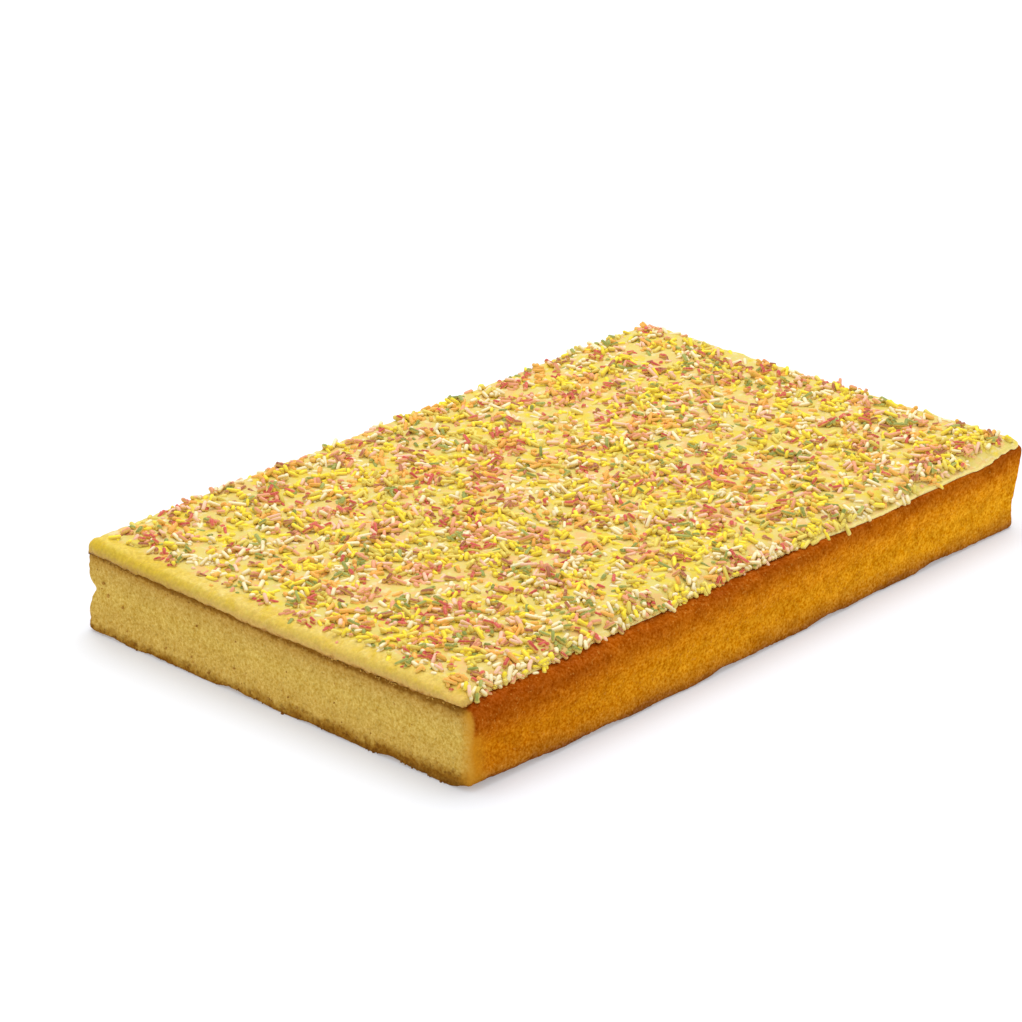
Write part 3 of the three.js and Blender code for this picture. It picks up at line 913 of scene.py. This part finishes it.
def drop(heights, x, y, turn, half, radius, sink, pitch, hanging=2):
    """Lays a strand on the map. Returns the height of its axis at its middle and its slope.

    Of the places along the strand, most must be on icing or by it, and at most `hanging` over an edge.
    """
    centre = STRAND_PLACES // 2
    along = np.linspace(-half, half, STRAND_PLACES)
    i, j = heights.cells(x + along * math.cos(turn), y + along * math.sin(turn))
    under = heights.z[i, j]
    base = heights.base[i, j]
    # The highest line over any place on the left and any on the right carries the strand
    left, right = along[:centre + 1], along[centre:]
    run = np.maximum(right[None, :] - left[:, None], 1e-6)
    slope = (under[None, centre:] - under[:centre + 1, None]) / run
    middle = under[:centre + 1, None] - slope * left[:, None]
    middle[centre, 0] = under[centre]
    slope[centre, 0] = 0
    best = np.unravel_index(np.argmax(middle), middle.shape)
    if heights.iced[i, j].sum() <= centre or (base < base[centre] - OVER_EDGE).sum() > hanging:
        return None
    piled = (under - base).max() > PILED
    tilt = float(np.clip(slope[best] + pitch * (0.5 if piled else 1), -STEEPEST, STEEPEST))
    z = float(middle[best]) + radius * (1 - (0.75 * sink if piled else sink))
    if z - base[centre] > HIGHEST:
        return None
    reach = half + radius
    dx, dy = reach * abs(math.cos(turn)) + radius, reach * abs(math.sin(turn)) + radius
    i0, j0 = int((x - dx - heights.x0) / heights.pitch), int((y - dy - heights.y0) / heights.pitch)
    i1, j1 = int((x + dx - heights.x0) / heights.pitch) + 2, int((y + dy - heights.y0) / heights.pitch) + 2
    gx = (np.arange(i0, i1) + 0.5)[:, None] * heights.pitch + heights.x0 - x
    gy = (np.arange(j0, j1) + 0.5)[None, :] * heights.pitch + heights.y0 - y
    u = gx * math.cos(turn) + gy * math.sin(turn)
    v = -gx * math.sin(turn) + gy * math.cos(turn)
    over = np.abs(u) - (half - radius)
    d2 = v**2 + np.maximum(over, 0) ** 2
    top = z + np.clip(u, -half, half) * tilt + np.sqrt(np.maximum(radius**2 - d2, 0))
    patch = heights.z[i0:i1, j0:j1]
    np.maximum(patch, np.where(d2 < radius**2, top, NOTHING), out=patch)
    return z, tilt


def strand_mesh(strands, rng):
    """Joined rods with rounded ends. A strand is (x, y, z, turn, tilt, half length, radius)."""
    s = np.array(strands)
    n = len(s)
    x, y, z, turn, tilt, half, radius = s.T
    axis = np.stack([np.cos(turn), np.sin(turn), tilt], axis=1)
    axis /= np.linalg.norm(axis, axis=1, keepdims=True)
    side = np.stack([-np.sin(turn), np.cos(turn), 0 * turn], axis=1)
    up = np.cross(axis, side)
    blunt = rng.uniform(0.35, 0.9, (n, 2))
    taper = rng.uniform(0.84, 1.0, (n, 2))
    rows = []
    # Each end has a ring of full width and a narrower one next to its tip
    for place, width in [(-1, 0.62), (-1, 1), (1, 1), (1, 0.62)]:
        e = 0 if place < 0 else 1
        cap = blunt[:, e] * radius
        along = place * (half - cap * (1 if width == 1 else 0.25))
        size = radius * width * taper[:, e]
        centre = np.stack([x, y, z], 1) + axis * along[:, None]
        angles = np.arange(RING_SIDES) * 2 * np.pi / RING_SIDES
        ring = (
            centre[:, None, :]
            + side[:, None, :] * (size[:, None] * np.cos(angles))[:, :, None]
            + up[:, None, :] * (size[:, None] * np.sin(angles))[:, :, None]
        )
        rows.append(ring)
    tips = [np.stack([x, y, z], 1) + axis * (place * half)[:, None] for place in (-1, 1)]
    verts = np.concatenate([tips[0][:, None], np.concatenate(rows, axis=1), tips[1][:, None]], axis=1)
    quads, tris = stack_faces(len(rows), RING_SIDES)
    offset = (np.arange(n) * verts.shape[1])[:, None, None]
    return verts.reshape(-1, 3), (quads[None] + offset).reshape(-1, 4), (tris[None] + offset).reshape(-1, 3)


def bare_border(y):
    """Width of the strip along the cut edge that has no strands, wider towards the far side."""
    return lerp(1.8, 7.8, (y + HALF_WIDTH) / WIDTH)


def wanted(x, y, rng):
    """Whether a strand's middle may lie here, on the straight-sided outline."""
    limit = bare_border(y) + rng.normal(0, 1.2)
    if x + HALF_LENGTH < max(limit, 1.5):
        return False
    if x > HALF_LENGTH - 2.4 - 1.5 * rng.random() or y > HALF_WIDTH - 1.8 - 1.5 * rng.random():
        return False
    # The bare lip is wider along the cut half, and again towards the baked end
    from_lip = 4.2 - 2.4 * float(smoothstep(x, 5, 60)) + 1.4 * float(smoothstep(x, 85, 130))
    return y > -HALF_WIDTH + from_lip + (0.3 if x < 10 else 0.2 + rng.random())


def make_strands(heights, shift):
    rng = np.random.default_rng(2024)
    kinds = [[] for _ in STRANDS]
    reach_x, reach_y = MAP_HALF_SIZE
    i, j = np.mgrid[-reach_x:reach_x, -reach_y:reach_y]
    places = np.stack([i.ravel(), j.ravel(), 0 * i.ravel()], axis=1).astype(float)
    families = [noise(places, 7.0, 60 + k) for k in range(4)]
    patches = [
        share * np.exp(PATCHES * (noise(places, 3.4, 40 + k) + 0.85 * families[family]))
        for k, (_, share, _, _, family) in enumerate(STRANDS)
    ]
    patches = np.cumsum(patches, axis=0).reshape(len(STRANDS), *i.shape)
    crowd = (noise(places, 2.6, 80) + 0.45 * noise(places, 8, 81)).reshape(i.shape)

    def pick_kind(x, y):
        """Colours lie in loose patches, as they fell from the tub."""
        weights = patches[:, int(x + reach_x), int(y + reach_y)]
        if y < -HALF_WIDTH + 7 and x < 20 and rng.random() < 0.22:
            return CREAM
        return int(np.searchsorted(weights, rng.random() * weights[-1]))

    def lay(x, y, shorter=1.0, turn=None, hanging=2):
        half = rng.normal(HALF_STRAND["mean"], HALF_STRAND["spread"])
        half = np.clip(half, HALF_STRAND["shortest"], HALF_STRAND["longest"]) * shorter
        radius = rng.uniform(*STRAND_RADIUS)
        if turn is None:
            turn = rng.normal(0.15, 0.8) if y < -HALF_WIDTH + 6 and x < 40 else rng.uniform(0, np.pi)
        sink, pitch = rng.uniform(*SUNK), rng.normal(0, 0.3)
        rest = drop(heights, x, y, turn, half, radius, sink, pitch, hanging)
        if rest:
            kinds[pick_kind(x, y)].append((x, y, rest[0], turn, rest[1], half, radius))

    def on_cake(x, y, z):
        """The place in the part's frame of a place on the straight-sided outline."""
        return cake_points(np.array([x]), np.array([y]), np.array([z]))[0, :2] + shift[:2]

    def gathered(x, y):
        """Whether a strand may lie here, going by the map of crowded and bare places."""
        share = smoothstep(crowd[int(x + reach_x), int(y + reach_y)], *CROWD)
        return rng.random() < 0.1 + 0.9 * float(share)

    tried = 0
    while tried < STRAND_COUNT:
        x = rng.uniform(-HALF_LENGTH, HALF_LENGTH)
        y = rng.uniform(-HALF_WIDTH, HALF_WIDTH + 1)
        if gathered(x, y) and wanted(x, y, rng):
            lay(*on_cake(x, y, 35.0))
            tried += 1

    for _ in range(ALONG_LIP):
        x = rng.uniform(-HALF_LENGTH + 9, HALF_LENGTH - 30)
        y = -HALF_WIDTH + (5.0 if x < 20 else 2.6) + abs(rng.normal(0, 2.0))
        if gathered(x, y):
            lay(*on_cake(x, y, 34.0), turn=rng.normal(0.1, 0.75))
    for _ in range(ON_CREST):
        x = rng.uniform(-HALF_LENGTH + 3, 30)
        y = -HALF_WIDTH + 4.6 + rng.normal(0, 0.7)
        if gathered(x, y) or rng.random() < 0.35:
            lay(*on_cake(x, y, 33.0), shorter=rng.uniform(0.6, 1.0), turn=rng.normal(0.2, 0.8), hanging=3)
    for _ in range(BY_BAKED_END):
        x, y = rng.uniform(95, HALF_LENGTH - 5), -HALF_WIDTH + 5 + abs(rng.normal(0, 5))
        lay(*on_cake(x, y, 34.0), turn=rng.normal(0.1, 0.75))
    for x in rng.uniform(14, HALF_LENGTH - 30, OVER_LIP):
        lay(*on_cake(x, -HALF_WIDTH + 1.4, 33.0), shorter=0.8, turn=rng.normal(1.57, 0.4), hanging=4)

    for (name, _, rgb, spread, _), strands in zip(STRANDS, kinds):
        verts, quads, tris = strand_mesh(strands, rng)
        obj = make_object("sugar_strands_" + name, verts, [quads, tris], strand_material(name, rgb, spread))
        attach(obj, "root")


# ---------------------------------------- light, floor and camera


FLOOR_HALF_SIZE = 12.0
LAMP_DIRECTION = (0.26, 0.2, 1.0)
LAMP_DISTANCE = 2.2
LENS = 136.22
CAMERA_PLACE = (-967.80, -875.68, 583.47)
CAMERA_BACK = (-0.67175, -0.62795, 0.39298)  # from what it looks at towards the camera
CAMERA_ROLL = -0.13


def make_stage():
    mesh = bpy.data.meshes.new("floor")
    corners = [(-1, -1, 0), (1, -1, 0), (1, 1, 0), (-1, 1, 0)]
    mesh.from_pydata([Vector(corner) * FLOOR_HALF_SIZE for corner in corners], [], [(0, 1, 2, 3)])
    floor = bpy.data.objects.new("floor", mesh)
    bpy.context.scene.collection.objects.link(floor)
    material = bpy.data.materials.new("white_table")
    material.use_nodes = True
    bsdf = material.node_tree.nodes["Principled BSDF"]
    bsdf.inputs["Base Color"].default_value = (0.58, 0.6, 0.64, 1)
    bsdf.inputs["Emission Color"].default_value = (1, 1, 1, 1)
    bsdf.inputs["Emission Strength"].default_value = 0.28
    bsdf.inputs["Roughness"].default_value = 0.9
    bsdf.inputs["Specular IOR Level"].default_value = 0.1
    mesh.materials.append(material)

    world = bpy.data.worlds.new("soft_room")
    world.use_nodes = True
    world.node_tree.nodes["Background"].inputs["Color"].default_value = (1, 1, 1, 1)
    world.node_tree.nodes["Background"].inputs["Strength"].default_value = 0.86
    bpy.context.scene.world = world

    lamp = bpy.data.lights.new("softbox", "AREA")
    lamp.shape = "SQUARE"
    lamp.size = 2.0
    lamp.energy = 40
    lamp.color = (1.0, 0.99, 0.97)
    light = bpy.data.objects.new("softbox", lamp)
    direction = Vector(LAMP_DIRECTION).normalized()
    light.location = direction * LAMP_DISTANCE
    light.rotation_euler = direction.to_track_quat("Z", "Y").to_euler()
    bpy.context.scene.collection.objects.link(light)


def make_camera():
    back = Vector(CAMERA_BACK).normalized()
    right = Vector((0, 0, 1)).cross(back).normalized()
    up = back.cross(right)
    turn = Matrix((right, up, back)).transposed().to_4x4()
    camera = bpy.data.cameras.new("camera")
    camera.sensor_width = 36
    camera.lens = LENS
    camera.clip_end = 50
    obj = bpy.data.objects.new("camera", camera)
    roll = Matrix.Rotation(math.radians(CAMERA_ROLL), 4, "Z")
    obj.matrix_world = Matrix.Translation(Vector(CAMERA_PLACE) * MM) @ turn @ roll
    bpy.context.scene.collection.objects.link(obj)
    bpy.context.scene.camera = obj


def box_shift():
    """From the nominal outline's middle, which the rings lie about, to the solids' frame."""
    st = Stations(near=300, corner=8, end=200, far=300, cut=200)
    plain = np.concatenate([side_ring(st, share) for share in np.linspace(0, 1, 40)])
    low, high = np.array(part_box("sponge")) / MM
    shift = (low + high) / 2 - (plain.min(axis=0) + plain.max(axis=0)) / 2
    shift[2] = 0
    return shift


shift = box_shift()
sponge = make_sponge(shift)
icing = make_icing(shift)
for piece in (sponge, icing, make_crumbs(sponge)):
    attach(piece, "root")
make_strands(HeightMap(icing, sponge), shift)
make_stage()
make_camera()
bpy.context.scene.view_settings.view_transform = "Standard"
